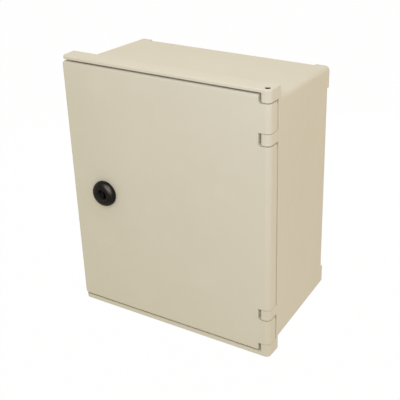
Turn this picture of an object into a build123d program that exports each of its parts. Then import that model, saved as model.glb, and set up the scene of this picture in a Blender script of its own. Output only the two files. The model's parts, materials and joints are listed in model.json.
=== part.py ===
from math import cos, radians, tan
import os

from build123d import *

os.makedirs("parts", exist_ok=True)

# Wall-mounted enclosure with a side-hinged door, in millimetres.
# +Z is up, the door faces -Y, and the origin is the centre of the four wall
# fixings, on the plane of the wall.

# Door
door_width = 250.0
door_height = 290.3
door_depth = 16.8  # front face to the back edge of its flange
door_skin = 3.5
door_flange = 3.5
door_corner_radius = 3.4
door_edge_radius = 2.5
lock_pad_radius = 18.0
lock_pad_height = 2.5

# Tub
overall_depth = 140.5  # wall to the front of the door
tub_step = 7.9  # lip down to the tub's outside, just behind the rim
draft_side = 1.55  # degrees
draft_end = 2.5
wall = 3.5
tub_edge_radius = 5.0
cavity_edge_radius = 3.0
back_bevel = 0.8
foot_width = 15.5
foot_height = 23.0
foot_proud = 5.2

# Rim round the opening
shoulder = 2.8
top_lip = 3.6
bottom_lip = 5.6
top_gap = 2.3  # door to lip
bottom_gap = 0.75
lip_edge_radius = 1.7
parting_gap = 1.2  # door to shoulder
shoulder_edge_radius = 1.0
opening_margin_side = 20.0  # tub's outside to the opening
opening_margin_end = 8.0
opening_radius = 8.0
upstand = 2.5  # wall of the sealing rim

# Door seal
gasket_width = 8.0
gasket_thickness = 5.2
gasket_rest_gap = 0.3  # seal to the sealing rim, door shut
gasket_side_gap = 0.25
seal_rib = 2.4
seal_rib_height = 5.8

# Hinges
barrel_radius = 5.75
knuckle_radius = 6.4  # on the side towards the opening
end_knuckle = 10.0  # length, from the lip
leaf_length = 31.1  # between the two knuckles of one hinge
inner_knuckle = 12.2
knuckle_bevel = 0.6
hinge_end_gap = 0.6
hinge_side_gap = 0.55
notch_radius = 2.5  # lower inner corner of the cut-outs for the knuckles
leaf_relief = 3.0  # cut from the leaf's rear corner, clear of the knuckle's root
pin_radius = 3.0
pin_fit = 0.04
leaf_fit = 0.08
pin_recess = 1.5
pin_floor = 2.0
pin_chamfer = 0.5
hinge_core_end = 3.5  # solid left at each end of the cored hinge edge

# Lock
lock_backset = 44.5  # door's free edge to the lock
lock_drop = 1.6  # below the middle of the rim
head_radius = 14.8
head_height = 8.6
head_edge = 2.2
head_top_radius = 7.8
mouth_bevel = 0.8
lock_seal_thickness = 1.0
lock_seal_inset = 0.6
stem_radius = 11.0
stem_flats = 20.0
stem_clearance = 0.15
rotor_head_radius = 6.5
rotor_head_sink = 7.0  # head's rim to the rotor's face
rotor_head_length = 6.0
rotor_radius = 5.0
rotor_fit = 0.07
rotor_square = 7.0
square_clearance = 0.1
key_pin_radius = 2.2
key_pin_length = 4.5
key_bit_span = 9.0
key_bit_width = 2.0
rotor_seal_width = 1.6
rotor_seal_depth = 1.0
rotor_seal_fit = 0.06
rotor_seal_back = 5.0  # stem's end to the groove
nut_across_flats = 27.0
nut_thickness = 5.0
nut_chamfer = 0.8
cam_thickness = 3.0
cam_width = 15.0
cam_eye_radius = 9.0
cam_tip_radius = 3.0
cam_overlap = 8.0  # behind the shoulder when shut
cam_gap = 0.5
cam_end_float = 0.3
cam_washer_radius = 6.5
cam_washer_thickness = 1.2
washer_play = 0.3
cam_screw_radius = 2.1
cam_screw_length = 12.0
cam_screw_flats = 8.0
cam_screw_head = 3.5
screw_fit = 0.05

# Wall fixings: threaded inserts in the feet
wall_insert_radius = 4.5
wall_insert_length = 10.0
wall_thread_radius = 2.5
wall_boss_radius = 7.0
insert_floor = 3.5
insert_fit = 0.03

# Mounting plate on four posts
plate_thickness = 2.0
plate_margin = 7.0  # inside the opening
plate_corner_radius = 6.0
plate_hole_inset = 10.0
plate_hole_radius = 2.75
post_radius = 6.5
post_height = 12.0
plate_insert_radius = 3.5
plate_insert_length = 9.0
plate_screw_radius = 2.1
plate_screw_length = 10.0
plate_screw_head_radius = 4.6
plate_screw_head = 3.3
plate_screw_crown = 1.1
driver_slot_span = 5.2
driver_slot_width = 1.1
driver_slot_depth = 1.6
plate_washer_radius = 5.5
plate_washer_thickness = 1.0

# Planes along the depth
front_y = -overall_depth
door_back_y = front_y + door_depth
shoulder_y = door_back_y + parting_gap
shoulder_back_y = shoulder_y + shoulder
wall_back_y = -foot_proud
cavity_back_y = wall_back_y - wall
skin_back_y = front_y + door_skin
gasket_back_y = skin_back_y + gasket_thickness
upstand_tip_y = gasket_back_y + gasket_rest_gap

# Heights
lip_z = (door_height + top_gap + bottom_gap) / 2
door_top = lip_z - top_gap
door_bottom = bottom_gap - lip_z
rim_top = lip_z + top_lip
rim_bottom = -lip_z - bottom_lip

# Drafted tub
tub_height = 2 * (lip_z - tub_step)
rear_width = door_width + 2 * tan(radians(draft_side)) * shoulder_y
rear_height = tub_height + 2 * tan(radians(draft_end)) * shoulder_y
fixing_x = (rear_width - foot_width) / 2
fixing_z = (rear_height - foot_height) / 2

# Opening, sealing rim and seal
opening_width = door_width - 2 * opening_margin_side
opening_height = tub_height - 2 * opening_margin_end
seal_width = opening_width + upstand
seal_height = opening_height + upstand
seal_radius = opening_radius + upstand / 2

# Seal's channel on the hinge side
channel_x = seal_width / 2 + gasket_width / 2 + gasket_side_gap

# Hinge axis, and how far the door's hinge edge reaches from it
hinge_x = door_width / 2 - barrel_radius
hinge_y = front_y + barrel_radius
swing_radius = door_back_y - hinge_y
knuckle_x = hinge_x - knuckle_radius
notch_x = knuckle_x - hinge_side_gap
end_knuckle_z = lip_z - end_knuckle
inner_knuckle_top = end_knuckle_z - leaf_length
inner_knuckle_bottom = inner_knuckle_top - inner_knuckle

# Lock, along its own axis
lock_x = lock_backset - door_width / 2
lock_z = -lock_drop
lock_axis = Axis((lock_x, 0, lock_z), (0, 1, 0))
lock_plane = Plane((lock_x, front_y, lock_z), x_dir=(1, 0, 0), z_dir=(0, 0, 1))
cam_y = shoulder_back_y + cam_gap
stem_back_y = cam_y - cam_end_float
lock_pad_y = skin_back_y + lock_pad_height
head_front_y = front_y - head_height
rotor_front_y = head_front_y + rotor_head_sink
rotor_seat_y = rotor_front_y + rotor_head_length
rotor_back_y = cam_y + cam_thickness - cam_end_float
cam_reach = opening_width / 2 + lock_x + cam_overlap

# Mounting plate
plate_width = opening_width - 2 * plate_margin
plate_height = opening_height - 2 * plate_margin
plate_hole_x = plate_width / 2 - plate_hole_inset
plate_hole_z = plate_height / 2 - plate_hole_inset
post_front_y = cavity_back_y - post_height
plate_front_y = post_front_y - plate_thickness
washer_front_y = plate_front_y - plate_washer_thickness


# A sketch plane at depth y that looks out of the door.
def facing_front(y):
    return Plane.XZ.offset(-y)


# The four corners of a pattern about the origin.
def corners(x, z):
    return GridLocations(2 * x, 2 * z, 2, 2)


# A block that narrows from the shoulder to a depth, as the tub and its cavity do.
def drafted_block(back_y, inset, edge_radius):
    width = door_width - 2 * inset
    height = tub_height - 2 * inset
    depth = back_y - shoulder_y
    middle = (back_y + shoulder_y) / 2
    with BuildPart() as block:
        with BuildSketch(Plane.XY):
            with Locations((0, middle)):
                Trapezoid(width, depth, 90 - draft_side)
        extrude(amount=height / 2, both=True)
        with BuildSketch(Plane.YZ):
            with Locations((middle, 0)):
                Trapezoid(height, depth, 90 - draft_end, rotation=-90)
        extrude(amount=width / 2, both=True, mode=Mode.INTERSECT)
        fillet(block.edges().group_by(Axis.Y)[1], edge_radius)
    return block.part


# A lip of the rim, with the hinge barrel's rounding at both ends.
def lip(low, high, outer):
    with BuildPart() as slab:
        with BuildSketch(Plane.XY.offset(low)) as plan:
            with Locations((0, (front_y + shoulder_back_y) / 2)):
                Rectangle(door_width, shoulder_back_y - front_y)
            fillet(plan.vertices().group_by(Axis.Y)[0], barrel_radius)
        extrude(amount=high - low)
        fillet(slab.faces().sort_by(Axis.Z)[outer].edges(), lip_edge_radius)
    return slab.part


# A hinge knuckle, flat in front and round about the pin, with the web that joins it to the shoulder.
def knuckle(low, high, bevelled_ends):
    with BuildPart() as block:
        with BuildSketch(Plane.XY.offset(low)):
            with Locations((hinge_x, hinge_y)):
                Circle(knuckle_radius)
            with Locations(((knuckle_x + hinge_x) / 2, hinge_y)):
                Rectangle(knuckle_radius, 2 * barrel_radius, mode=Mode.INTERSECT)
            with Locations((hinge_x, hinge_y)):
                Circle(barrel_radius)
            with Locations(((knuckle_x + door_width / 2) / 2, (hinge_y + shoulder_back_y) / 2)):
                Rectangle(door_width / 2 - knuckle_x, shoulder_back_y - hinge_y)
        extrude(amount=high - low)
        # The bevel of the round front runs on along the web.
        for end in bevelled_ends:
            rim = block.edges().group_by(Axis.Z)[end]
            chamfer(rim.filter_by(lambda edge: edge.center().Y < hinge_y), knuckle_bevel)
    return block.part


# A hinge pin between two heights.
def hinge_pin(low, high):
    with BuildPart() as pin:
        with BuildSketch(Plane((hinge_x, hinge_y, low))):
            Circle(pin_radius)
        extrude(amount=high - low)
        chamfer(pin.edges().filter_by(GeomType.CIRCLE), pin_chamfer)
    return pin.part


pin_top = rim_top - pin_recess
pin_bottom = inner_knuckle_bottom + pin_floor
lower_pin_top = -inner_knuckle_bottom - pin_floor
lower_pin_bottom = rim_bottom + pin_recess

rim_parts = [
    lip(lip_z, rim_top, -1),
    lip(rim_bottom, -lip_z, 0),
    knuckle(end_knuckle_z, lip_z, [0]),
    knuckle(inner_knuckle_bottom, inner_knuckle_top, [0, -1]),
    knuckle(-inner_knuckle_top, -inner_knuckle_bottom, [0, -1]),
    knuckle(-lip_z, -end_knuckle_z, [-1]),
]

# Enclosure body: one moulding, tub, rim, lips, knuckles, feet and posts
with BuildPart() as enclosure_body:
    add(drafted_block(0, 0, tub_edge_radius))
    chamfer(enclosure_body.faces().sort_by(Axis.Y)[-1].edges(), back_bevel)
    # A cross-shaped relief leaves a foot at each corner.
    with BuildSketch(facing_front(0)):
        Rectangle(rear_width - 2 * foot_width, tub_height)
        Rectangle(door_width, rear_height - 2 * foot_height)
    extrude(amount=foot_proud, mode=Mode.SUBTRACT)
    # Shoulder plate, as tall as the rim
    with BuildSketch(facing_front(shoulder_back_y)):
        with Locations((0, (top_lip - bottom_lip) / 4)):
            Rectangle(door_width, 2 * lip_z + (top_lip + bottom_lip) / 2)
    extrude(amount=shoulder)
    fillet(enclosure_body.edges().filter_by(Axis.Z).group_by(Axis.Y)[0], shoulder_edge_radius)
    add(rim_parts)
    # Sealing rim round the opening
    with BuildSketch(facing_front(shoulder_y)):
        RectangleRounded(seal_width + upstand, seal_height + upstand, seal_radius + upstand / 2)
    extrude(amount=shoulder_y - upstand_tip_y)
    # Cavity behind the shoulder, and the opening through it
    with BuildPart(mode=Mode.PRIVATE) as cavity:
        add(drafted_block(cavity_back_y, wall, cavity_edge_radius))
        split(bisect_by=facing_front(shoulder_back_y), keep=Keep.BOTTOM)
    add(cavity.part, mode=Mode.SUBTRACT)
    with BuildSketch(facing_front(shoulder_back_y)):
        RectangleRounded(opening_width, opening_height, opening_radius)
    extrude(amount=shoulder_back_y - upstand_tip_y, mode=Mode.SUBTRACT)
    # Corner bosses behind the feet, and the posts of the plate
    with BuildSketch(facing_front(cavity_back_y)):
        with corners(fixing_x, fixing_z):
            Circle(wall_boss_radius)
    extrude(amount=cavity_back_y + wall_insert_length + insert_floor)
    with BuildSketch(facing_front(cavity_back_y)):
        with corners(plate_hole_x, plate_hole_z):
            Circle(post_radius)
    extrude(amount=post_height)
    # Sockets of the inserts
    with BuildSketch(facing_front(0)):
        with corners(fixing_x, fixing_z):
            Circle(wall_insert_radius + insert_fit)
    extrude(amount=wall_insert_length, mode=Mode.SUBTRACT)
    with BuildSketch(facing_front(post_front_y)):
        with corners(plate_hole_x, plate_hole_z):
            Circle(plate_insert_radius + insert_fit)
    extrude(amount=-plate_insert_length, mode=Mode.SUBTRACT)
    # Bores of the hinge pins, open at the rim's top and bottom
    with Locations(Plane((hinge_x, hinge_y, rim_top), z_dir=(0, 0, 1))):
        Hole(pin_radius + pin_fit, depth=rim_top - pin_bottom)
    with Locations(Plane((hinge_x, hinge_y, rim_bottom), z_dir=(0, 0, -1))):
        Hole(pin_radius + pin_fit, depth=lower_pin_top - rim_bottom)

enclosure_body.part.label = "enclosure_body"
export_step(enclosure_body.part, "parts/enclosure_body.step")

# Hinge pins
hinge_pin_upper = hinge_pin(pin_bottom, pin_top)
hinge_pin_upper.label = "hinge_pin_upper"
export_step(hinge_pin_upper, "parts/hinge_pin_upper.step")

hinge_pin_lower = hinge_pin(lower_pin_bottom, lower_pin_top)
hinge_pin_lower.label = "hinge_pin_lower"
export_step(hinge_pin_lower, "parts/hinge_pin_lower.step")

# Inserts of the wall fixings
with BuildPart() as wall_inserts:
    with BuildSketch(facing_front(0)):
        with corners(fixing_x, fixing_z):
            Circle(wall_insert_radius)
            Circle(wall_thread_radius, mode=Mode.SUBTRACT)
    extrude(amount=wall_insert_length)

wall_inserts.part.label = "wall_inserts"
export_step(wall_inserts.part, "parts/wall_inserts.step")

# Inserts of the posts
with BuildPart() as plate_inserts:
    with BuildSketch(facing_front(post_front_y)):
        with corners(plate_hole_x, plate_hole_z):
            Circle(plate_insert_radius)
            Circle(plate_screw_radius + screw_fit, mode=Mode.SUBTRACT)
    extrude(amount=-plate_insert_length)

plate_inserts.part.label = "plate_inserts"
export_step(plate_inserts.part, "parts/plate_inserts.step")

# Mounting plate
with BuildPart() as mounting_plate:
    with BuildSketch(facing_front(post_front_y)):
        RectangleRounded(plate_width, plate_height, plate_corner_radius)
        with corners(plate_hole_x, plate_hole_z):
            Circle(plate_hole_radius, mode=Mode.SUBTRACT)
    extrude(amount=plate_thickness)

mounting_plate.part.label = "mounting_plate"
export_step(mounting_plate.part, "parts/mounting_plate.step")

# Washers of the plate
with BuildPart() as plate_washers:
    with BuildSketch(facing_front(plate_front_y)):
        with corners(plate_hole_x, plate_hole_z):
            Circle(plate_washer_radius)
            Circle(plate_hole_radius, mode=Mode.SUBTRACT)
    extrude(amount=plate_washer_thickness)

plate_washers.part.label = "plate_washers"
export_step(plate_washers.part, "parts/plate_washers.step")

# Pan-head screws of the plate
with BuildPart() as plate_screws:
    with BuildSketch(facing_front(washer_front_y)):
        with corners(plate_hole_x, plate_hole_z):
            Circle(plate_screw_head_radius)
    extrude(amount=plate_screw_head)
    chamfer(plate_screws.faces().group_by(Axis.Y)[0].edges(), plate_screw_crown)
    with BuildSketch(facing_front(washer_front_y)):
        with corners(plate_hole_x, plate_hole_z):
            Circle(plate_screw_radius)
    extrude(amount=-plate_screw_length)
    with BuildSketch(facing_front(washer_front_y - plate_screw_head)):
        with corners(plate_hole_x, plate_hole_z):
            Rectangle(driver_slot_span, driver_slot_width)
            Rectangle(driver_slot_width, driver_slot_span)
    extrude(amount=-driver_slot_depth, mode=Mode.SUBTRACT)

plate_screws.part.label = "plate_screws"
export_step(plate_screws.part, "parts/plate_screws.step")

# Door: a flanged pan with its hinge edge rounded about the pins
with BuildPart() as door:
    with BuildSketch(Plane.XY.offset(door_bottom)):
        # Hinge edge, round about the pins so that it swings clear of the rim
        with Locations((hinge_x, hinge_y)):
            Circle(swing_radius)
        with Locations(((channel_x + door_width / 2) / 2, (hinge_y + door_back_y) / 2)):
            Rectangle(door_width / 2 - channel_x, swing_radius, mode=Mode.INTERSECT)
        with Locations((hinge_x, hinge_y)):
            Circle(barrel_radius)
        with Locations(((channel_x + hinge_x) / 2, front_y + barrel_radius / 2)):
            Rectangle(hinge_x - channel_x, barrel_radius)
        # Skin, and the flange of the free edge
        with Locations(((hinge_x - door_width / 2) / 2, front_y + door_skin / 2)):
            Rectangle(hinge_x + door_width / 2, door_skin)
        with Locations(((door_flange - door_width) / 2, front_y + door_depth / 2)):
            Rectangle(door_flange, door_depth)
    extrude(amount=door_height)
    # Flanges at the top and bottom close the pan.
    with BuildSketch(facing_front(skin_back_y)):
        with Locations(((channel_x - door_width / 2) / 2, (door_top + door_bottom) / 2)):
            with GridLocations(0, door_height - door_flange, 1, 2):
                Rectangle(channel_x + door_width / 2, door_flange)
    extrude(amount=skin_back_y - door_back_y)
    fillet(door.edges().filter_by(Axis.Y).group_by(Axis.X)[0], door_corner_radius)
    # Ribs on both sides of the seal
    with BuildSketch(facing_front(skin_back_y)):
        spread = gasket_width / 2 + gasket_side_gap
        for inner in (spread, -spread - seal_rib):
            outer = inner + seal_rib
            RectangleRounded(seal_width + 2 * outer, seal_height + 2 * outer, seal_radius + outer)
            RectangleRounded(
                seal_width + 2 * inner, seal_height + 2 * inner, seal_radius + inner, mode=Mode.SUBTRACT
            )
    extrude(amount=-seal_rib_height)
    # Thicker pad round the lock
    with BuildSketch(facing_front(skin_back_y)):
        with Locations((lock_x, lock_z)):
            Circle(lock_pad_radius)
    extrude(amount=-lock_pad_height)
    # Hinge edge cored out between the two hinges
    core_left = channel_x + door_flange
    core_right = door_width / 2 - door_flange
    core_top = inner_knuckle_bottom - hinge_end_gap - hinge_core_end
    with BuildSketch(facing_front(door_back_y)):
        with Locations(((core_left + core_right) / 2, 0)):
            Rectangle(core_right - core_left, 2 * core_top)
    extrude(amount=door_depth - door_skin, mode=Mode.SUBTRACT)
    # Cut-outs for the body's knuckles
    notch_width = door_width / 2 - notch_x
    end_notch = lip_z - end_knuckle_z + hinge_end_gap
    inner_notch = inner_knuckle + 2 * hinge_end_gap
    with BuildSketch(facing_front(door_back_y)) as notches:
        for side in (1, -1):
            with Locations((notch_x + notch_width / 2, side * (lip_z - end_notch / 2))):
                Rectangle(notch_width, end_notch)
            with Locations((notch_x + notch_width / 2, side * (inner_knuckle_top - inner_knuckle / 2))):
                Rectangle(notch_width, inner_notch)
        inner_corners = notches.vertices().group_by(Axis.X)[0].sort_by(Axis.Y)
        fillet(inner_corners[2::2], notch_radius)
    extrude(amount=door_depth, mode=Mode.SUBTRACT)
    # Relief at the rear corner of the edge below each knuckle
    with BuildSketch(facing_front(door_back_y)):
        for edge_z in (end_knuckle_z, inner_knuckle_bottom, -inner_knuckle_top):
            with Locations(((door_width - leaf_relief) / 2, edge_z - hinge_end_gap - leaf_relief / 2)):
                Rectangle(leaf_relief, leaf_relief)
    extrude(amount=leaf_relief, mode=Mode.SUBTRACT)
    # Bores of the two hinge leaves
    for leaf_top in (end_knuckle_z, -inner_knuckle_top):
        with Locations(Plane((hinge_x, hinge_y, leaf_top), z_dir=(0, 0, 1))):
            Hole(pin_radius + leaf_fit, depth=leaf_length)
    # Flatted hole of the lock
    with BuildSketch(facing_front(front_y)):
        with Locations((lock_x, lock_z)):
            Circle(stem_radius + stem_clearance)
            Rectangle(stem_flats + 2 * stem_clearance, 4 * stem_radius, mode=Mode.INTERSECT)
    extrude(amount=-door_depth, mode=Mode.SUBTRACT)
    fillet(door.faces().sort_by(Axis.Y)[0].edges().sort_by(Axis.X)[0], door_edge_radius)

door.part.label = "door"
export_step(door.part, "parts/door.step")

# Foamed seal in the door's channel
with BuildPart() as door_gasket:
    with BuildSketch(facing_front(skin_back_y)):
        half = gasket_width / 2
        RectangleRounded(seal_width + gasket_width, seal_height + gasket_width, seal_radius + half)
        RectangleRounded(
            seal_width - gasket_width, seal_height - gasket_width, seal_radius - half, mode=Mode.SUBTRACT
        )
    extrude(amount=-gasket_thickness)

door_gasket.part.label = "door_gasket"
export_step(door_gasket.part, "parts/door_gasket.step")

# Lock housing: domed head, recessed mouth and flatted stem
with BuildPart() as lock_housing:
    mouth_radius = rotor_head_radius + rotor_fit
    bore_radius = rotor_radius + rotor_fit
    seat = rotor_seat_y - front_y
    stem_end = stem_back_y - front_y
    dome_width = head_radius - head_top_radius
    dome_height = head_height - head_edge
    with BuildSketch(lock_plane):
        with BuildLine():
            crown = Polyline(
                (bore_radius, stem_end),
                (bore_radius, seat),
                (mouth_radius, seat),
                (mouth_radius, mouth_bevel - head_height),
                (mouth_radius + mouth_bevel, -head_height),
                (head_top_radius, -head_height),
            )
            dome = ThreePointArc(
                crown @ 1,
                (head_top_radius + dome_width * cos(radians(45)), -head_edge - dome_height * cos(radians(45))),
                (head_radius, -head_edge),
            )
            Polyline(
                dome @ 1,
                (head_radius, -lock_seal_thickness),
                (stem_radius, -lock_seal_thickness),
                (stem_radius, stem_end),
                crown @ 0,
            )
        make_face()
    revolve(axis=lock_axis)
    with BuildSketch(facing_front(stem_back_y)):
        with Locations((lock_x, lock_z)):
            with GridLocations(stem_flats + stem_radius, 0, 2, 1):
                Rectangle(stem_radius, 3 * stem_radius)
    extrude(amount=stem_end + lock_seal_thickness, mode=Mode.SUBTRACT)

lock_housing.part.label = "lock_housing"
export_step(lock_housing.part, "parts/lock_housing.step")

# Flat seal under the lock's head
with BuildPart() as lock_seal:
    with BuildSketch(facing_front(front_y)):
        with Locations((lock_x, lock_z)):
            Circle(head_radius - lock_seal_inset)
            Circle(stem_radius + stem_clearance, mode=Mode.SUBTRACT)
    extrude(amount=lock_seal_thickness)

lock_seal.part.label = "lock_seal"
export_step(lock_seal.part, "parts/lock_seal.step")

# Nut that clamps the lock to the door
with BuildPart() as lock_nut:
    with BuildSketch(facing_front(lock_pad_y)):
        with Locations((lock_x, lock_z)):
            RegularPolygon(nut_across_flats / 2, 6, major_radius=False)
            Circle(stem_radius + screw_fit, mode=Mode.SUBTRACT)
    extrude(amount=-nut_thickness)
    chamfer(lock_nut.faces().sort_by(Axis.Y)[-1].outer_wire().edges(), nut_chamfer)

lock_nut.part.label = "lock_nut"
export_step(lock_nut.part, "parts/lock_nut.step")

# Rotor: key pin with two bits, head, shank with a seal groove, square end
seal_ring_radius = rotor_radius + rotor_fit - rotor_seal_fit
seal_ring_y = stem_back_y - rotor_seal_back
with BuildPart() as lock_rotor:
    with BuildSketch(facing_front(rotor_seat_y)):
        with Locations((lock_x, lock_z)):
            Circle(rotor_head_radius)
    extrude(amount=rotor_head_length)
    with BuildSketch(facing_front(rotor_front_y)):
        with Locations((lock_x, lock_z)):
            Circle(key_pin_radius)
            Rectangle(key_bit_width, key_bit_span)
    extrude(amount=key_pin_length)
    with BuildSketch(facing_front(rotor_seat_y)):
        with Locations((lock_x, lock_z)):
            Circle(rotor_radius)
    extrude(amount=rotor_seat_y - cam_y)
    with BuildSketch(facing_front(cam_y)):
        with Locations((lock_x, lock_z)):
            Rectangle(rotor_square, rotor_square)
    extrude(amount=cam_y - rotor_back_y)
    with BuildSketch(facing_front(seal_ring_y + rotor_seal_fit)):
        with Locations((lock_x, lock_z)):
            Circle(rotor_radius + rotor_fit)
            Circle(seal_ring_radius - rotor_seal_depth - rotor_seal_fit, mode=Mode.SUBTRACT)
    extrude(amount=rotor_seal_width + 2 * rotor_seal_fit, mode=Mode.SUBTRACT)
    with BuildSketch(facing_front(rotor_back_y)):
        with Locations((lock_x, lock_z)):
            Circle(cam_screw_radius + screw_fit)
    extrude(amount=cam_screw_length, mode=Mode.SUBTRACT)

lock_rotor.part.label = "lock_rotor"
export_step(lock_rotor.part, "parts/lock_rotor.step")

# Seal ring in the rotor's groove
with BuildPart() as rotor_seal:
    with BuildSketch(facing_front(seal_ring_y)):
        with Locations((lock_x, lock_z)):
            Circle(seal_ring_radius)
            Circle(seal_ring_radius - rotor_seal_depth, mode=Mode.SUBTRACT)
    extrude(amount=rotor_seal_width)

rotor_seal.part.label = "rotor_seal"
export_step(rotor_seal.part, "parts/rotor_seal.step")

# Cam, pointing down while the lock is open
with BuildPart() as lock_cam:
    with BuildSketch(facing_front(cam_y)) as cam_outline:
        with Locations((lock_x, lock_z - cam_reach / 2)):
            Rectangle(cam_width, cam_reach)
        fillet(cam_outline.vertices().group_by(Axis.Y)[0], cam_tip_radius)
        with Locations((lock_x, lock_z)):
            Circle(cam_eye_radius)
            square = rotor_square + 2 * square_clearance
            Rectangle(square, square, mode=Mode.SUBTRACT)
    extrude(amount=-cam_thickness)

lock_cam.part.label = "lock_cam"
export_step(lock_cam.part, "parts/lock_cam.step")

# Washer and screw that hold the cam on the rotor
cam_back_y = cam_y + cam_thickness
with BuildPart() as cam_washer:
    with BuildSketch(facing_front(cam_back_y)):
        with Locations((lock_x, lock_z)):
            Circle(cam_washer_radius)
            Circle(cam_screw_radius + washer_play, mode=Mode.SUBTRACT)
    extrude(amount=-cam_washer_thickness)

cam_washer.part.label = "cam_washer"
export_step(cam_washer.part, "parts/cam_washer.step")

with BuildPart() as cam_screw:
    with BuildSketch(facing_front(cam_back_y + cam_washer_thickness)):
        with Locations((lock_x, lock_z)):
            RegularPolygon(cam_screw_flats / 2, 6, major_radius=False)
    extrude(amount=-cam_screw_head)
    with BuildSketch(facing_front(cam_back_y + cam_washer_thickness)):
        with Locations((lock_x, lock_z)):
            Circle(cam_screw_radius)
    extrude(amount=cam_screw_length)

cam_screw.part.label = "cam_screw"
export_step(cam_screw.part, "parts/cam_screw.step")
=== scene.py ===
import json
import math

import bpy
from mathutils import Matrix, Vector


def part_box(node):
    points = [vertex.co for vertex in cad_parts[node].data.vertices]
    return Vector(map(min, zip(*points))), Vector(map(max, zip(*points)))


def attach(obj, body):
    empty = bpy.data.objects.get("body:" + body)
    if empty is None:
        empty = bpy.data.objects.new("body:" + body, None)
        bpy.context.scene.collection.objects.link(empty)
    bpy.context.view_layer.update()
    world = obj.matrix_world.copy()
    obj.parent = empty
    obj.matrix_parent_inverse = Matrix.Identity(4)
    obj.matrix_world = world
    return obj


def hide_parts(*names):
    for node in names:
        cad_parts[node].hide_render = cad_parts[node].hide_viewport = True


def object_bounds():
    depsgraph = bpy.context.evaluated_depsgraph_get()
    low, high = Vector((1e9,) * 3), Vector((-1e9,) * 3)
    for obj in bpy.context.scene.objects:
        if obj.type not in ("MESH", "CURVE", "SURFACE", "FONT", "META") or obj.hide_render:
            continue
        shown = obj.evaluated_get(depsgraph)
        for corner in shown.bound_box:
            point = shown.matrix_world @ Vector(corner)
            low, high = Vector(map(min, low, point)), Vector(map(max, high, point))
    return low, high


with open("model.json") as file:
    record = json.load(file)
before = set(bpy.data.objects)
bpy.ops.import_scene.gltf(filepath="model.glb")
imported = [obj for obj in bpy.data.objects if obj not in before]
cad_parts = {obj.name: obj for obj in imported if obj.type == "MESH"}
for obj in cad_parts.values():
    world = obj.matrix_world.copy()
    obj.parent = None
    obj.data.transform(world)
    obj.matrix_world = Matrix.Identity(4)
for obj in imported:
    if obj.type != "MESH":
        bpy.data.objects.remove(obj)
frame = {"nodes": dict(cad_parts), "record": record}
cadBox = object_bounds()
nodes = frame["nodes"]
print("frame loaded:", len(nodes), "nodes")


# a node's output that does arithmetic by adding Math nodes
class Wire:
    def __init__(self, graph, socket):
        self.graph = graph
        self.socket = socket

    def calc(self, operation, left, right):
        return self.graph.add("ShaderNodeMath", {"operation": operation}, {0: left, 1: right})

    def __add__(self, other):
        return self.calc("ADD", self, other)

    def __radd__(self, other):
        return self.calc("ADD", other, self)

    def __sub__(self, other):
        return self.calc("SUBTRACT", self, other)

    def __rsub__(self, other):
        return self.calc("SUBTRACT", other, self)

    def __mul__(self, other):
        return self.calc("MULTIPLY", self, other)

    def __rmul__(self, other):
        return self.calc("MULTIPLY", other, self)

    # the larger of the two
    def __or__(self, other):
        return self.calc("MAXIMUM", self, other)

    def __ror__(self, other):
        return self.calc("MAXIMUM", other, self)


# a node tree, for a finish, for the surround or for geometry
class Graph:
    def __init__(self, tree):
        self.tree = tree

    # any node: its type, its settings, the values or wires of its sockets, and the output that is wanted
    def add(self, kind, settings, sockets, output=0):
        node = self.tree.nodes.new(kind)
        for name, value in settings.items():
            if name == "stops":
                for element, (position, shade) in zip(node.color_ramp.elements, value):
                    element.position = position
                    element.color = (shade, shade, shade, 1)
            else:
                setattr(node, name, value)
        for name, value in sockets.items():
            self.plug(node.inputs[name], value)
        return Wire(self, node.outputs[output]) if node.outputs else None

    def plug(self, socket, value):
        for source in value if isinstance(value, list) else [value]:
            if isinstance(source, Wire):
                self.tree.links.new(source.socket, socket)
            else:
                socket.default_value = source

    # 1 for the rays that see the white surround, straight or in a reflection
    def sight(self):
        rays = ("Is Camera Ray", "Is Glossy Ray", "Is Transmission Ray")
        straight, mirrored, through = (self.add("ShaderNodeLightPath", {}, {}, ray) for ray in rays)
        return straight | mirrored | through


# one procedural finish: a Principled shader and the nodes that feed it
class Finish(Graph):
    def __init__(self, name, constants):
        self.material = bpy.data.materials.new(name)
        self.material.use_nodes = True
        super().__init__(self.material.node_tree)
        self.shader = self.tree.nodes["Principled BSDF"]
        self.place = self.add("ShaderNodeTexCoord", {}, {}, "Object")
        self.feed(constants)

    def feed(self, sockets):
        for name, value in sockets.items():
            self.plug(self.shader.inputs[name], value)

    # noise between 0 and 1 on the object's own coordinates
    def noise(self, scale, detail=2.0, stretch=(1, 1, 1), turn=(0, 0, 0)):
        sockets = {"Vector": self.place, "Scale": stretch, "Rotation": turn}
        placed = self.add("ShaderNodeMapping", {}, sockets)
        return self.add("ShaderNodeTexNoise", {}, {"Vector": placed, "Scale": scale, "Detail": detail})

    def ramp(self, value, low, high):
        return self.add("ShaderNodeValToRGB", {"stops": ((low, 0), (high, 1))}, {"Fac": value})

    def mix(self, share, first, second):
        return self.add("ShaderNodeMix", {"data_type": "RGBA"}, {"Factor": share, 6: first, 7: second}, 2)

    # normals softened over sharp edges
    def soften(self, radius):
        return self.add("ShaderNodeBevel", {"samples": 4}, {"Radius": radius})

    def bump(self, height, depth, strength=1.0, normal=None):
        sockets = {"Height": height, "Distance": depth, "Strength": strength}
        if normal:
            sockets["Normal"] = normal
        return self.add("ShaderNodeBump", {}, sockets)


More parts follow.
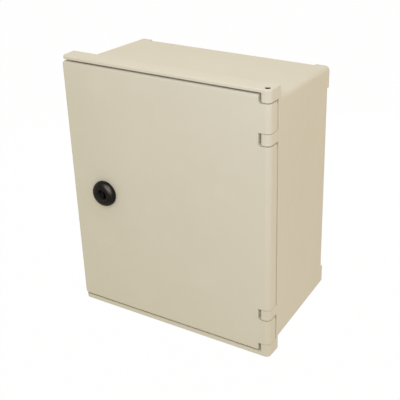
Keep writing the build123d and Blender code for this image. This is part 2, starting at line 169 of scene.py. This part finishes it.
# a Geometry Nodes tree with named sizes, which is baked to a plain mesh
class Recipe(Graph):
    def __init__(self, name, sizes):
        self.name = name
        super().__init__(bpy.data.node_groups.new(name, "GeometryNodeTree"))
        self.tree.interface.new_socket("Geometry", in_out="OUTPUT", socket_type="NodeSocketGeometry")
        self.values = {}
        for key, value in sizes.items():
            kind = "NodeSocketInt" if isinstance(value, int) else "NodeSocketFloat"
            socket = self.tree.interface.new_socket(key, in_out="INPUT", socket_type=kind)
            self.values[socket.identifier] = value
        self.inputs = self.tree.nodes.new("NodeGroupInput")

    def size(self, key):
        return Wire(self, self.inputs.outputs[key])

    def vector(self, x=0, y=0, z=0):
        return self.add("ShaderNodeCombineXYZ", {}, {"X": x, "Y": y, "Z": z})

    def bake(self, geometry, material):
        whole = self.add("GeometryNodeRealizeInstances", {}, {"Geometry": geometry})
        dressed = self.add("GeometryNodeSetMaterial", {}, {"Geometry": whole, "Material": material})
        self.add("NodeGroupOutput", {}, {"Geometry": dressed})
        piece = bpy.data.objects.new(self.name, bpy.data.meshes.new(self.name))
        bpy.context.scene.collection.objects.link(piece)
        modifier = piece.modifiers.new(self.name, "NODES")
        modifier.node_group = self.tree
        for identifier, value in self.values.items():
            modifier[identifier] = value
        graph = bpy.context.evaluated_depsgraph_get()
        shape = bpy.data.meshes.new_from_object(piece.evaluated_get(graph))
        piece.modifiers.remove(modifier)
        piece.data = shape
        return piece


# sRGB, 0 to 255, as a linear colour
def colour(red, green, blue):
    def linear(value):
        share = value / 255
        return share / 12.92 if share <= 0.04045 else ((share + 0.055) / 1.055) ** 2.4

    return (linear(red), linear(green), linear(blue), 1)


# cream glass-filled polyester: faint strand print under a satin moulded skin
polyesterLook = {
    "cream": colour(212, 205, 184),
    "creamDeep": colour(209, 202, 180),
    "strandLight": colour(216, 210, 190),
    "roughness": 0.44,
    "cloudScale": 7.0,
    "cloudRoughness": 0.12,
    "strandScale": 26.0,
    "strandStretch": (1, 9, 1),
    "strandTurns": ((0.3, 0.2, 0.5), (0.9, 1.2, -0.4), (-0.5, 0.7, 1.3)),
    "strandShows": (0.58, 0.78),
    "strandShare": 0.35,
    "strandDepth": 0.00003,
    "peelScale": 900.0,
    "peelDepth": 0.00002,
    "peelRoughness": 0.10,
    "edgeRadius": 0.0005,
    "shine": {"IOR": 1.5, "Specular IOR Level": 0.5},
}


def makePolyester():
    look = polyesterLook
    finish = Finish("polyester", look["shine"])
    clouds = finish.noise(look["cloudScale"], 3.0)
    peel = finish.noise(look["peelScale"], 1.0)

    def layer(turn):
        return finish.noise(look["strandScale"], 2.0, look["strandStretch"], turn)

    first, *others = look["strandTurns"]
    strands = layer(first)
    for turn in others:
        strands = strands | layer(turn)
    strandPrint = finish.ramp(strands, *look["strandShows"]) * look["strandShare"]
    body = finish.mix(finish.ramp(clouds, 0.3, 0.7), look["cream"], look["creamDeep"])
    uneven = (peel - 0.5) * look["peelRoughness"] + (clouds - 0.5) * look["cloudRoughness"]
    edges = finish.soften(look["edgeRadius"])
    skin = finish.bump(strands, look["strandDepth"], 0.5, edges)
    finish.feed({
        "Base Color": finish.mix(strandPrint, body, look["strandLight"]),
        "Roughness": look["roughness"] + uneven,
        "Normal": finish.bump(peel, look["peelDepth"], 0.6, skin),
    })
    return finish.material


# black glass-filled polyamide: satin on the lock's housing, dull on its rotor and on the hinge pins
lockLook = {
    "black": colour(21, 18, 16),
    "worn": colour(27, 23, 21),
    "roughness": 0.34,
    "grainScale": 1500.0,
    "mouthRadius": 0.0076,
    "mouthRoughness": 0.6,
    "shine": {"IOR": 1.5, "Specular IOR Level": 0.1, "Specular Tint": (1.0, 0.85, 0.66, 1)},
}
dullLook = {
    "black": colour(20, 17, 15),
    "worn": colour(26, 22, 20),
    "roughness": 0.6,
    "grainScale": 1100.0,
    "mouthRadius": 0.0,
    "mouthRoughness": 0.0,
    "shine": {"IOR": 1.5, "Specular IOR Level": 0.08, "Specular Tint": (1, 0.82, 0.55, 1)},
}
dullNodes = ("lock_rotor", "hinge_pin_upper", "hinge_pin_lower")
plasticGrain = {
    "depth": 0.00001,
    "roughness": 0.12,
    "cloudScale": 90.0,
    "cloudRoughness": 0.08,
    "edgeRadius": 0.0003,
}


def makeLockPlastic(name, look):
    finish = Finish(name, look["shine"])
    grain = finish.noise(look["grainScale"], 2.0)
    clouds = finish.noise(plasticGrain["cloudScale"], 3.0)
    edges = finish.soften(plasticGrain["edgeRadius"])
    low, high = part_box("lock_rotor")  # the mouth is round the rotor's axis
    middle = (low + high) / 2
    away = finish.add("ShaderNodeVectorMath", {"operation": "SUBTRACT"}, {0: finish.place, 1: middle})
    flat = finish.add("ShaderNodeVectorMath", {"operation": "MULTIPLY"}, {0: away, 1: (1, 0, 1)})
    reach = finish.add("ShaderNodeVectorMath", {"operation": "LENGTH"}, {0: flat}, "Value")
    mouth = finish.add("ShaderNodeMath", {"operation": "LESS_THAN"}, {0: reach, 1: look["mouthRadius"]})
    texture = (grain - 0.5) * plasticGrain["roughness"] + (clouds - 0.5) * plasticGrain["cloudRoughness"]
    finish.feed({
        "Base Color": finish.mix(finish.ramp(clouds, 0.4, 0.75), look["black"], look["worn"]),
        "Roughness": look["roughness"] + texture + mouth * look["mouthRoughness"],
        "Normal": finish.bump(grain, plasticGrain["depth"], 0.5, edges),
    })
    return finish.material


# foamed seal: a soft skin over small cells
foamLook = {
    "grey": colour(58, 58, 60),
    "cell": colour(44, 44, 46),
    "cellScale": 1100.0,
    "cellDepth": 0.00012,
    "cloudScale": 60.0,
    "roughness": 0.85,
    "roughnessSpread": 0.15,
}


def makeFoam():
    look = foamLook
    finish = Finish("sealing_foam", {"Specular IOR Level": 0.3})
    sockets = {"Vector": finish.place, "Scale": look["cellScale"]}
    cells = finish.add("ShaderNodeTexVoronoi", {}, sockets, "Distance")
    clouds = finish.noise(look["cloudScale"], 2.0)
    finish.feed({
        "Base Color": finish.mix(finish.ramp(cells, 0.1, 0.6), look["cell"], look["grey"]),
        "Roughness": look["roughness"] + (clouds - 0.5) * look["roughnessSpread"],
        "Normal": finish.bump(cells, look["cellDepth"], 0.6),
    })
    return finish.material


# smooth black rubber of the small seals
rubberLook = {
    "black": colour(26, 26, 26),
    "dusty": colour(40, 39, 38),
    "dustScale": 200.0,
    "grainScale": 2200.0,
    "grainDepth": 0.00001,
    "roughness": 0.6,
    "roughnessSpread": 0.15,
}


def makeRubber():
    look = rubberLook
    finish = Finish("seal_rubber", {"Specular IOR Level": 0.4})
    dust = finish.noise(look["dustScale"], 3.0)
    grain = finish.noise(look["grainScale"], 1.0)
    finish.feed({
        "Base Color": finish.mix(finish.ramp(dust, 0.45, 0.8), look["black"], look["dusty"]),
        "Roughness": look["roughness"] + (grain - 0.5) * look["roughnessSpread"],
        "Normal": finish.bump(grain, look["grainDepth"], 0.5),
    })
    return finish.material


# galvanised sheet: spangle of zinc crystals, each with its own tone
galvanisedLook = {
    "pale": colour(206, 209, 211),
    "dark": colour(172, 177, 181),
    "spangleScale": 85.0,
    "spangleRoughness": 0.16,
    "warpScale": 40.0,
    "warp": (0.006, 0.006, 0.006),
    "featherScale": 420.0,
    "featherStretch": (1, 5, 1),
    "featherTurn": (0.4, 0.3, 0.6),
    "featherShare": 0.3,
    "featherRoughness": 0.10,
    "relief": 0.00002,
    "roughness": 0.38,
}


def makeGalvanised():
    look = galvanisedLook
    finish = Finish("galvanised_steel", {"Metallic": 1.0})
    warp = finish.noise(look["warpScale"], 2.0)
    placed = finish.add("ShaderNodeVectorMath", {"operation": "MULTIPLY_ADD"}, {
        0: warp, 1: look["warp"], 2: finish.place,
    })
    sockets = {"Vector": placed, "Scale": look["spangleScale"]}
    crystal = finish.add("ShaderNodeTexVoronoi", {}, sockets, "Color")
    tone = finish.add("ShaderNodeSeparateColor", {}, {"Color": crystal}, "Red")
    feather = finish.noise(look["featherScale"], 3.0, look["featherStretch"], look["featherTurn"])
    share = look["featherShare"]
    uneven = (tone - 0.5) * look["spangleRoughness"] + (feather - 0.5) * look["featherRoughness"]
    finish.feed({
        "Base Color": finish.mix(tone * (1 - share) + feather * share, look["dark"], look["pale"]),
        "Roughness": look["roughness"] + uneven,
        "Normal": finish.bump(tone * 0.5 + feather * 0.5, look["relief"], 0.4),
    })
    return finish.material


# zinc plate on small steel parts: bright, with a faint yellow and blue cast
platedLook = {
    "blue": colour(196, 200, 206),
    "straw": colour(206, 200, 184),
    "castScale": 120.0,
    "grainScale": 1600.0,
    "grainDepth": 0.00001,
    "edgeRadius": 0.0002,
    "roughness": 0.32,
    "roughnessSpread": 0.16,
}


def makePlated():
    look = platedLook
    finish = Finish("plated_steel", {"Metallic": 1.0})
    cast = finish.noise(look["castScale"], 3.0)
    grain = finish.noise(look["grainScale"], 2.0)
    edges = finish.soften(look["edgeRadius"])
    finish.feed({
        "Base Color": finish.mix(finish.ramp(cast, 0.35, 0.7), look["blue"], look["straw"]),
        "Roughness": look["roughness"] + (grain - 0.5) * look["roughnessSpread"],
        "Normal": finish.bump(grain, look["grainDepth"], 0.5, edges),
    })
    return finish.material


# turned brass of the threaded inserts
brassLook = {
    "bright": colour(206, 172, 104),
    "dull": colour(168, 134, 78),
    "tarnishScale": 300.0,
    "ringScale": 2400.0,
    "ringStretch": (0.05, 1, 0.05),
    "ringDepth": 0.00001,
    "roughness": 0.34,
    "roughnessSpread": 0.2,
}


def makeBrass():
    look = brassLook
    finish = Finish("brass", {"Metallic": 1.0})
    tarnish = finish.noise(look["tarnishScale"], 3.0)
    rings = finish.noise(look["ringScale"], 1.0, look["ringStretch"])
    finish.feed({
        "Base Color": finish.mix(finish.ramp(tarnish, 0.4, 0.75), look["bright"], look["dull"]),
        "Roughness": look["roughness"] + (rings - 0.5) * look["roughnessSpread"],
        "Normal": finish.bump(rings, look["ringDepth"], 0.5),
    })
    return finish.material


finishes = {
    "polyester": makePolyester(),
    "lock_plastic": makeLockPlastic("lock_plastic", lockLook),
    "sealing_foam": makeFoam(),
    "seal_rubber": makeRubber(),
    "galvanised_steel": makeGalvanised(),
    "plated_steel": makePlated(),
    "brass": makeBrass(),
}
for part in frame["record"]["subparts"]:
    solid = nodes[part["node"]]
    solid.data.materials.clear()
    solid.data.materials.append(finishes[part["material_slot"]])
dullPlastic = makeLockPlastic("dull_plastic", dullLook)
for name in dullNodes:
    nodes[name].data.materials[0] = dullPlastic
print("finishes assigned:", len(finishes) + 1)


# the foamed seal with its crowned top, poured into the door's channel
sealLook = {"width": 0.008, "cornerRadius": 0.00925, "cornerSteps": 12, "crownSteps": 13, "fill": 0.9}


def makeDoorSeal():
    look = sealLook
    low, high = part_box("door_gasket")
    recipe = Recipe("doorSeal", {
        "Span": high.x - low.x - look["width"],
        "Height": high.z - low.z - look["width"],
        "Corner": look["cornerRadius"],
        "Corner steps": look["cornerSteps"],
        "Strip": look["width"],
        "Crown": high.y - low.y,
        "Crown steps": look["crownSteps"],
        "Base": low.y,
    })
    outline = recipe.add("GeometryNodeCurvePrimitiveQuadrilateral", {}, {
        "Width": recipe.size("Span"), "Height": recipe.size("Height"),
    })
    path = recipe.add("GeometryNodeFilletCurve", {"mode": "POLY"}, {
        "Curve": outline, "Radius": recipe.size("Corner"), "Count": recipe.size("Corner steps"),
    })
    arch = recipe.add("GeometryNodeCurveArc", {"mode": "RADIUS"}, {
        "Resolution": recipe.size("Crown steps"), "Radius": 1.0,
        "Start Angle": 0.0, "Sweep Angle": math.pi,
    })
    closed = recipe.add("GeometryNodeSetSplineCyclic", {}, {"Geometry": arch, "Cyclic": True})
    crown = recipe.add("GeometryNodeTransform", {}, {
        "Geometry": closed, "Scale": recipe.vector(recipe.size("Strip") * 0.5, recipe.size("Crown"), 1),
    })
    strip = recipe.add("GeometryNodeCurveToMesh", {}, {"Curve": path, "Profile Curve": crown})
    placed = recipe.add("GeometryNodeTransform", {}, {
        "Geometry": strip, "Translation": recipe.vector(y=recipe.size("Base")),
        "Rotation": (math.pi / 2, 0, 0),
    })
    seal = recipe.bake(placed, finishes["sealing_foam"])
    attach(seal, "door")
    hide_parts("door_gasket")


# the thread on the lock's stem, behind its nut: ridges between the two flats
threadLook = {
    "pitch": 0.0015,
    "rootRadius": 0.011,
    "depth": 0.0006,
    "sweep": 120.0,  # degrees, on each side of the flats
    "steps": 40,
    "ridgeSides": 3,
    "clear": 0.0004,  # from the nut and from the stem's end
}


def makeStemThread():
    look = threadLook
    nutLow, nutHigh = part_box("lock_nut")
    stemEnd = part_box("lock_housing")[1].y
    room = stemEnd - nutHigh.y - 2 * look["clear"] - look["depth"]
    recipe = Recipe("stemThread", {
        "Pitch": look["pitch"],
        "Turns": int(room / look["pitch"]),
        "Radius": look["rootRadius"],
        "Depth": look["depth"],
        "Sweep": math.radians(look["sweep"]),
        "Steps": look["steps"],
        "Stem x": (nutLow.x + nutHigh.x) / 2,
        "Stem z": (nutLow.z + nutHigh.z) / 2,
        "First y": nutHigh.y + look["clear"] + look["depth"],
    })
    pitch = recipe.size("Pitch")
    sweep = recipe.size("Sweep")
    arc = recipe.add("GeometryNodeCurveArc", {"mode": "RADIUS"}, {
        "Resolution": recipe.size("Steps"), "Radius": recipe.size("Radius"),
        "Start Angle": math.pi / 2 - sweep * 0.5, "Sweep Angle": sweep,
    })
    tooth = recipe.add("GeometryNodeCurvePrimitiveCircle", {"mode": "RADIUS"}, {
        "Resolution": look["ridgeSides"], "Radius": recipe.size("Depth"),
    })
    ridge = recipe.add("GeometryNodeCurveToMesh", {}, {
        "Curve": arc, "Profile Curve": tooth, "Fill Caps": True,
    })
    upright = recipe.add("GeometryNodeTransform", {}, {"Geometry": ridge, "Rotation": (math.pi / 2, 0, 0)})
    halves = []
    for turn, lag in ((0, 0), (math.pi, 0.5)):  # the lower half of each turn lies half a pitch further on
        row = recipe.add("GeometryNodeMeshLine", {"mode": "OFFSET"}, {
            "Count": recipe.size("Turns"),
            "Start Location": recipe.vector(
                recipe.size("Stem x"), recipe.size("First y") + pitch * lag, recipe.size("Stem z")
            ),
            "Offset": recipe.vector(y=pitch),
        })
        halves.append(recipe.add("GeometryNodeInstanceOnPoints", {}, {
            "Points": row, "Instance": upright, "Rotation": (0, turn, 0),
        }))
    both = recipe.add("GeometryNodeJoinGeometry", {}, {"Geometry": halves})
    thread = recipe.bake(both, finishes["lock_plastic"])
    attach(thread, "door")


# the bevelled ends of the hinge pins, which fill their holes nearly to the rim's faces; their dark plastic
# also stands in for the shade in the holes, so they are part pin, part painted shade
pinEndAndShadeLook = {
    "clear": 0.0001,  # from the pin's own radius
    "below": 0.0006,  # under the rim's face
    "bevel": 0.0004,
    "overlap": 0.0002,  # into the pin
    "steps": 48,
}


# a turned piece along Z from radii and heights, closed at both ends
def turned(profile, steps):
    points = []
    for radius, height in profile:
        for step in range(steps):
            angle = 2 * math.pi * step / steps
            points.append(Vector((radius * math.cos(angle), radius * math.sin(angle), height)))
    faces = [list(reversed(range(steps))), list(range(len(points) - steps, len(points)))]
    for row in range(0, len(points) - steps, steps):
        for step in range(steps):
            after = (step + 1) % steps
            faces.append((row + step, row + after, row + steps + after, row + steps + step))
    return points, faces


def makePinEndsAndShade():
    look = pinEndAndShadeLook
    bodyLow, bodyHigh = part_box("enclosure_body")
    points = []
    faces = []
    for name, way in (("hinge_pin_upper", 1), ("hinge_pin_lower", -1)):
        low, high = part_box(name)
        radius = (high.x - low.x) / 2 - look["clear"]
        start = way * (high if way > 0 else low).z - look["overlap"]
        stop = way * (bodyHigh if way > 0 else bodyLow).z - look["below"]
        profile = ((radius, start), (radius, stop - look["bevel"]), (radius - look["bevel"], stop))
        ring, skin = turned(profile, look["steps"])
        axis = Vector(((low.x + high.x) / 2, (low.y + high.y) / 2, 0))
        faces += [[index + len(points) for index in face] for face in skin]
        points += [axis + Vector((point.x, way * point.y, way * point.z)) for point in ring]
    mesh = bpy.data.meshes.new("pinEndsAndShade")
    mesh.from_pydata(points, [], faces)
    # the pins' dark plastic, which here also paints the shade of the holes
    mesh.materials.append(dullPlastic)
    ends = bpy.data.objects.new("pinEndsAndShade", mesh)
    bpy.context.scene.collection.objects.link(ends)
    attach(ends, "enclosure")


makeDoorSeal()
makeStemThread()
makePinEndsAndShade()
print("seal, thread and pin ends made")


# a pale floor well below the hung box, and a white surround
stageLook = {
    "floorDrop": 0.45,
    "floorSize": 8.0,
    "floorColour": (0.9, 0.9, 0.89, 1),
    "floorRoughness": 0.9,
    "floorWhite": 0.985,  # the rest of what is seen keeps the shadow
    "skyColour": (1, 0.94, 0.73, 1),
    "skyStrength": 0.71,
}


def makeStage():
    look = stageLook
    low = cadBox[0].z - look["floorDrop"]
    half = look["floorSize"] / 2
    corners = [(x * half, y * half, low) for x, y in ((-1, -1), (1, -1), (1, 1), (-1, 1))]
    sheet = bpy.data.meshes.new("floor")
    sheet.from_pydata(corners, [], [(0, 1, 2, 3)])
    floor = bpy.data.objects.new("floor", sheet)
    bpy.context.scene.collection.objects.link(floor)
    finish = Finish("floor", {"Base Color": look["floorColour"], "Roughness": look["floorRoughness"]})
    under = finish.add("ShaderNodeNewGeometry", {}, {}, "Backfacing")  # clear when looked at from below
    white = finish.add("ShaderNodeEmission", {}, {"Strength": 1.0})
    clear = finish.add("ShaderNodeBsdfTransparent", {}, {})
    matte = Wire(finish, finish.shader.outputs[0])
    seen = finish.sight() * look["floorWhite"]
    top = finish.add("ShaderNodeMixShader", {}, {0: seen, 1: matte, 2: white})
    both = finish.add("ShaderNodeMixShader", {}, {0: under, 1: top, 2: clear})
    finish.plug(finish.tree.nodes["Material Output"].inputs["Surface"], both)
    sheet.materials.append(finish.material)


def makeSky():
    look = stageLook
    world = bpy.data.worlds.new("surround")
    world.use_nodes = True
    bpy.context.scene.world = world
    sky = Graph(world.node_tree)
    sockets = {"Color": look["skyColour"], "Strength": look["skyStrength"]}
    light = sky.add("ShaderNodeBackground", {}, sockets)
    white = sky.add("ShaderNodeBackground", {}, {"Color": (1, 1, 1, 1), "Strength": 1.0})
    chosen = sky.add("ShaderNodeMixShader", {}, {0: sky.sight(), 1: light, 2: white})
    sky.plug(sky.tree.nodes["World Output"].inputs["Surface"], chosen)


# soft boxes, all aimed at the box's middle: the front and rear ones are kept out of reflections, where they
# would glare in the faces, and the last one only gives the highlight on the lock's housing
lamps = {
    "keyBox": {
        "at": (0.326, -0.614, 0.482), "size": 0.5, "power": 3.4, "tint": (0.62, 0.69, 1.0),
        "mirrored": False,
    },
    "sideBox": {"at": (1.4, 0.15, 0.25), "size": 0.9, "power": 1.55, "tint": (1.0, 0.48, 0.38)},
    "topBox": {"at": (-0.3, 0.1, 1.2), "size": 0.8, "power": 2.15, "tint": (1.0, 0.98, 1.0)},
    "rearBox": {
        "at": (-0.8, 1.6, -0.28), "size": 0.6, "power": 12.0, "tint": (0.58, 0.67, 1.0),
        "mirrored": False,
    },
    "lockBox": {
        "at": (0.245, -0.5, 0.415), "size": 0.8, "power": 49.0, "tint": (0.79, 0.85, 1.0),
        "reaches": ("lock_housing",), "lights": False,
    },
}


def makeLamps():
    centre = (cadBox[0] + cadBox[1]) / 2
    for name, lamp in lamps.items():
        light = bpy.data.lights.new(name, "AREA")
        light.size = lamp["size"]
        light.energy = lamp["power"]
        light.color = lamp["tint"]
        holder = bpy.data.objects.new(name, light)
        holder.location = lamp["at"]
        holder.rotation_euler = (centre - Vector(lamp["at"])).to_track_quat("-Z", "Y").to_euler()
        holder.visible_glossy = lamp.get("mirrored", True)
        holder.visible_diffuse = lamp.get("lights", True)
        bpy.context.scene.collection.objects.link(holder)
        if "reaches" in lamp:
            lit = bpy.data.collections.new(name)
            for node in lamp["reaches"]:
                lit.objects.link(nodes[node])
            holder.light_linking.receiver_collection = lit


# the photograph's viewpoint
viewpoint = {
    "eye": (0.4703, -0.8000, 0.4102),
    "azimuth": 32.87,
    "elevation": 26.48,
    "roll": -1.96,
    "lens": 76.56,
    "sensor": 36.0,
    "near": 0.01,
}


def makeCamera():
    look = viewpoint
    turn, rise, roll = (math.radians(look[key]) for key in ("azimuth", "elevation", "roll"))
    back = Vector((math.sin(turn) * math.cos(rise), -math.cos(turn) * math.cos(rise), math.sin(rise)))
    level = Vector((math.cos(turn), math.sin(turn), 0))
    upright = back.cross(level)
    right = math.cos(roll) * level + math.sin(roll) * upright
    up = math.cos(roll) * upright - math.sin(roll) * level
    lens = bpy.data.cameras.new("camera")
    lens.lens = look["lens"]
    lens.sensor_width = look["sensor"]
    lens.clip_start = look["near"]
    camera = bpy.data.objects.new("camera", lens)
    camera.matrix_world = Matrix.Translation(look["eye"]) @ Matrix((right, up, back)).transposed().to_4x4()
    bpy.context.scene.collection.objects.link(camera)
    bpy.context.scene.camera = camera


makeStage()
makeSky()
makeLamps()
makeCamera()
bpy.context.scene.view_settings.view_transform = "Standard"
print("stage, lamps and camera placed")
